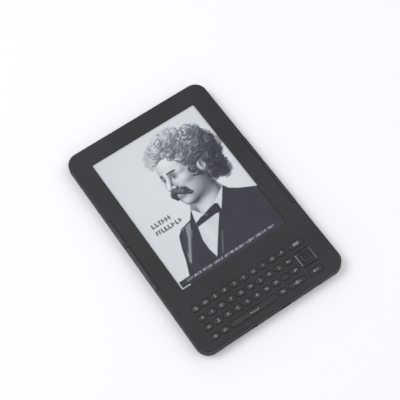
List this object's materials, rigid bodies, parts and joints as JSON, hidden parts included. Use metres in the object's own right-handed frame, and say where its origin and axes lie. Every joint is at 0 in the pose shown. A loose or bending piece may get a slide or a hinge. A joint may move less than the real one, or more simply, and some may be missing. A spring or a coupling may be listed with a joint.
{
  "type": "e-reader",
  "caption": "Slim e-paper reader with a letter keyboard and a square five-way controller under its screen, and page-turn bars in both side edges.",
  "frame": {"origin": "middle of the flat back, where the reader rests on a surface", "axes": "+X to the reader's right, +Y towards the top edge, +Z out of the screen"},
  "size_m": [0.1236, 0.1903, 0.0089],
  "materials": {
    "housing_plastic": "fine moulded texture, graphite",
    "back_coating": "soft-touch",
    "key_plastic": "satin",
    "controller_plastic": "semi-gloss",
    "button_plastic": "satin",
    "e_paper": "glass-backed e-paper under a matt film",
    "frame_metal": "cast, blasted",
    "tinned_steel": "bright tinned",
    "board_laminate": "solder mask",
    "silicone": "matte",
    "battery_foil": "laminated foil pouch",
    "black_plastic": "moulded"
  },
  "bodies": {
    "root": {"front_housing": "housing_plastic", "rear_cover": "back_coating", "display_panel": "e_paper", "mid_frame": "frame_metal", "keypad_board": "board_laminate", "keypad_mat": "silicone", "main_board": "board_laminate", "processor_shield": "tinned_steel", "wireless_module": "tinned_steel", "usb_socket": "tinned_steel", "headphone_socket": "black_plastic", "battery_pack": "battery_foil", "left_speaker": "black_plastic", "right_speaker": "black_plastic"},
    "left_next_page": {"left_next_page_button": "button_plastic"},
    "left_previous_page": {"left_previous_page_button": "button_plastic"},
    "right_next_page": {"right_next_page_button": "button_plastic"},
    "right_previous_page": {"right_previous_page_button": "button_plastic"},
    "power": {"power_slider": "button_plastic"},
    "volume": {"volume_rocker": "button_plastic"},
    "controller_rocker": {"nav_rocker": "black_plastic"},
    "controller_ring": {"nav_ring": "controller_plastic"},
    "controller_select": {"nav_select": "controller_plastic"},
    "key_space": {"key_space": "key_plastic"},
    "key_home": {"key_home": "key_plastic"},
    "key_menu": {"key_menu": "key_plastic"},
    "key_back": {"key_back": "key_plastic"},
    "key_q": {"key_q": "key_plastic"},
    "key_w": {"key_w": "key_plastic"},
    "key_e": {"key_e": "key_plastic"},
    "key_r": {"key_r": "key_plastic"},
    "key_t": {"key_t": "key_plastic"},
    "key_y": {"key_y": "key_plastic"},
    "key_u": {"key_u": "key_plastic"},
    "key_i": {"key_i": "key_plastic"},
    "key_o": {"key_o": "key_plastic"},
    "key_p": {"key_p": "key_plastic"},
    "key_a": {"key_a": "key_plastic"},
    "key_s": {"key_s": "key_plastic"},
    "key_d": {"key_d": "key_plastic"},
    "key_f": {"key_f": "key_plastic"},
    "key_g": {"key_g": "key_plastic"},
    "key_h": {"key_h": "key_plastic"},
    "key_j": {"key_j": "key_plastic"},
    "key_k": {"key_k": "key_plastic"},
    "key_l": {"key_l": "key_plastic"},
    "key_z": {"key_z": "key_plastic"},
    "key_x": {"key_x": "key_plastic"},
    "key_c": {"key_c": "key_plastic"},
    "key_v": {"key_v": "key_plastic"},
    "key_b": {"key_b": "key_plastic"},
    "key_n": {"key_n": "key_plastic"},
    "key_m": {"key_m": "key_plastic"},
    "key_del": {"key_del": "key_plastic"},
    "key_shift": {"key_shift": "key_plastic"},
    "key_period": {"key_period": "key_plastic"},
    "key_enter": {"key_enter": "key_plastic"},
    "key_alt": {"key_alt": "key_plastic"},
    "key_sym": {"key_sym": "key_plastic"},
    "key_text": {"key_text": "key_plastic"}
  },
  "joints": [
    {"name": "left_next_page_press", "type": "hinge", "parent": "root", "child": "left_next_page", "pos_m": [-0.0568, -0.014, 0.00675], "axis": [0, -1, 0], "range_deg": [0, 5], "stiffness_Nm_per_rad": 0.08},
    {"name": "left_previous_page_press", "type": "hinge", "parent": "root", "child": "left_previous_page", "pos_m": [-0.0568, 0.0205, 0.00675], "axis": [0, -1, 0], "range_deg": [0, 5], "stiffness_Nm_per_rad": 0.08},
    {"name": "right_next_page_press", "type": "hinge", "parent": "root", "child": "right_next_page", "pos_m": [0.0568, -0.014, 0.00675], "axis": [0, 1, 0], "range_deg": [0, 5], "stiffness_Nm_per_rad": 0.08},
    {"name": "right_previous_page_press", "type": "hinge", "parent": "root", "child": "right_previous_page", "pos_m": [0.0568, 0.0205, 0.00675], "axis": [0, 1, 0], "range_deg": [0, 5], "stiffness_Nm_per_rad": 0.08},
    {"name": "power_slide", "type": "slide", "parent": "root", "child": "power", "axis": [1, 0, 0], "range_m": [0, 0.0025], "stiffness_N_per_m": 400},
    {"name": "volume_rock", "type": "hinge", "parent": "root", "child": "volume", "pos_m": [-0.038, -0.09275, 0.0036], "axis": [0, 0, 1], "range_deg": [-2, 2], "stiffness_Nm_per_rad": 0.2},
    {"name": "controller_tilt_sideways", "type": "hinge", "parent": "root", "child": "controller_rocker", "pos_m": [0.0404, -0.07424, 0.0065], "axis": [0, 1, 0], "range_deg": [-2.5, 2.5], "stiffness_Nm_per_rad": 0.2},
    {"name": "controller_tilt_lengthways", "type": "hinge", "parent": "controller_rocker", "child": "controller_ring", "pos_m": [0.0404, -0.07424, 0.0065], "axis": [1, 0, 0], "range_deg": [-2.5, 2.5], "stiffness_Nm_per_rad": 0.2},
    {"name": "select_press", "type": "slide", "parent": "controller_ring", "child": "controller_select", "axis": [0, 0, -1], "range_m": [0, 0.00025], "stiffness_N_per_m": 3000},
    {"name": "key_space_press", "type": "slide", "parent": "root", "child": "key_space", "axis": [0, 0, -1], "range_m": [0, 0.0004], "stiffness_N_per_m": 1500},
    {"name": "key_home_press", "type": "slide", "parent": "root", "child": "key_home", "axis": [0, 0, -1], "range_m": [0, 0.0004], "stiffness_N_per_m": 1500},
    {"name": "key_menu_press", "type": "slide", "parent": "root", "child": "key_menu", "axis": [0, 0, -1], "range_m": [0, 0.0004], "stiffness_N_per_m": 1500},
    {"name": "key_back_press", "type": "slide", "parent": "root", "child": "key_back", "axis": [0, 0, -1], "range_m": [0, 0.0004], "stiffness_N_per_m": 1500},
    {"name": "key_q_press", "type": "slide", "parent": "root", "child": "key_q", "axis": [0, 0, -1], "range_m": [0, 0.0004], "stiffness_N_per_m": 1500},
    {"name": "key_w_press", "type": "slide", "parent": "root", "child": "key_w", "axis": [0, 0, -1], "range_m": [0, 0.0004], "stiffness_N_per_m": 1500},
    {"name": "key_e_press", "type": "slide", "parent": "root", "child": "key_e", "axis": [0, 0, -1], "range_m": [0, 0.0004], "stiffness_N_per_m": 1500},
    {"name": "key_r_press", "type": "slide", "parent": "root", "child": "key_r", "axis": [0, 0, -1], "range_m": [0, 0.0004], "stiffness_N_per_m": 1500},
    {"name": "key_t_press", "type": "slide", "parent": "root", "child": "key_t", "axis": [0, 0, -1], "range_m": [0, 0.0004], "stiffness_N_per_m": 1500},
    {"name": "key_y_press", "type": "slide", "parent": "root", "child": "key_y", "axis": [0, 0, -1], "range_m": [0, 0.0004], "stiffness_N_per_m": 1500},
    {"name": "key_u_press", "type": "slide", "parent": "root", "child": "key_u", "axis": [0, 0, -1], "range_m": [0, 0.0004], "stiffness_N_per_m": 1500},
    {"name": "key_i_press", "type": "slide", "parent": "root", "child": "key_i", "axis": [0, 0, -1], "range_m": [0, 0.0004], "stiffness_N_per_m": 1500},
    {"name": "key_o_press", "type": "slide", "parent": "root", "child": "key_o", "axis": [0, 0, -1], "range_m": [0, 0.0004], "stiffness_N_per_m": 1500},
    {"name": "key_p_press", "type": "slide", "parent": "root", "child": "key_p", "axis": [0, 0, -1], "range_m": [0, 0.0004], "stiffness_N_per_m": 1500},
    {"name": "key_a_press", "type": "slide", "parent": "root", "child": "key_a", "axis": [0, 0, -1], "range_m": [0, 0.0004], "stiffness_N_per_m": 1500},
    {"name": "key_s_press", "type": "slide", "parent": "root", "child": "key_s", "axis": [0, 0, -1], "range_m": [0, 0.0004], "stiffness_N_per_m": 1500},
    {"name": "key_d_press", "type": "slide", "parent": "root", "child": "key_d", "axis": [0, 0, -1], "range_m": [0, 0.0004], "stiffness_N_per_m": 1500},
    {"name": "key_f_press", "type": "slide", "parent": "root", "child": "key_f", "axis": [0, 0, -1], "range_m": [0, 0.0004], "stiffness_N_per_m": 1500},
    {"name": "key_g_press", "type": "slide", "parent": "root", "child": "key_g", "axis": [0, 0, -1], "range_m": [0, 0.0004], "stiffness_N_per_m": 1500},
    {"name": "key_h_press", "type": "slide", "parent": "root", "child": "key_h", "axis": [0, 0, -1], "range_m": [0, 0.0004], "stiffness_N_per_m": 1500},
    {"name": "key_j_press", "type": "slide", "parent": "root", "child": "key_j", "axis": [0, 0, -1], "range_m": [0, 0.0004], "stiffness_N_per_m": 1500},
    {"name": "key_k_press", "type": "slide", "parent": "root", "child": "key_k", "axis": [0, 0, -1], "range_m": [0, 0.0004], "stiffness_N_per_m": 1500},
    {"name": "key_l_press", "type": "slide", "parent": "root", "child": "key_l", "axis": [0, 0, -1], "range_m": [0, 0.0004], "stiffness_N_per_m": 1500},
    {"name": "key_z_press", "type": "slide", "parent": "root", "child": "key_z", "axis": [0, 0, -1], "range_m": [0, 0.0004], "stiffness_N_per_m": 1500},
    {"name": "key_x_press", "type": "slide", "parent": "root", "child": "key_x", "axis": [0, 0, -1], "range_m": [0, 0.0004], "stiffness_N_per_m": 1500},
    {"name": "key_c_press", "type": "slide", "parent": "root", "child": "key_c", "axis": [0, 0, -1], "range_m": [0, 0.0004], "stiffness_N_per_m": 1500},
    {"name": "key_v_press", "type": "slide", "parent": "root", "child": "key_v", "axis": [0, 0, -1], "range_m": [0, 0.0004], "stiffness_N_per_m": 1500},
    {"name": "key_b_press", "type": "slide", "parent": "root", "child": "key_b", "axis": [0, 0, -1], "range_m": [0, 0.0004], "stiffness_N_per_m": 1500},
    {"name": "key_n_press", "type": "slide", "parent": "root", "child": "key_n", "axis": [0, 0, -1], "range_m": [0, 0.0004], "stiffness_N_per_m": 1500},
    {"name": "key_m_press", "type": "slide", "parent": "root", "child": "key_m", "axis": [0, 0, -1], "range_m": [0, 0.0004], "stiffness_N_per_m": 1500},
    {"name": "key_del_press", "type": "slide", "parent": "root", "child": "key_del", "axis": [0, 0, -1], "range_m": [0, 0.0004], "stiffness_N_per_m": 1500},
    {"name": "key_shift_press", "type": "slide", "parent": "root", "child": "key_shift", "axis": [0, 0, -1], "range_m": [0, 0.0004], "stiffness_N_per_m": 1500},
    {"name": "key_period_press", "type": "slide", "parent": "root", "child": "key_period", "axis": [0, 0, -1], "range_m": [0, 0.0004], "stiffness_N_per_m": 1500},
    {"name": "key_enter_press", "type": "slide", "parent": "root", "child": "key_enter", "axis": [0, 0, -1], "range_m": [0, 0.0004], "stiffness_N_per_m": 1500},
    {"name": "key_alt_press", "type": "slide", "parent": "root", "child": "key_alt", "axis": [0, 0, -1], "range_m": [0, 0.0004], "stiffness_N_per_m": 1500},
    {"name": "key_sym_press", "type": "slide", "parent": "root", "child": "key_sym", "axis": [0, 0, -1], "range_m": [0, 0.0004], "stiffness_N_per_m": 1500},
    {"name": "key_text_press", "type": "slide", "parent": "root", "child": "key_text", "axis": [0, 0, -1], "range_m": [0, 0.0004], "stiffness_N_per_m": 1500}
  ]
}
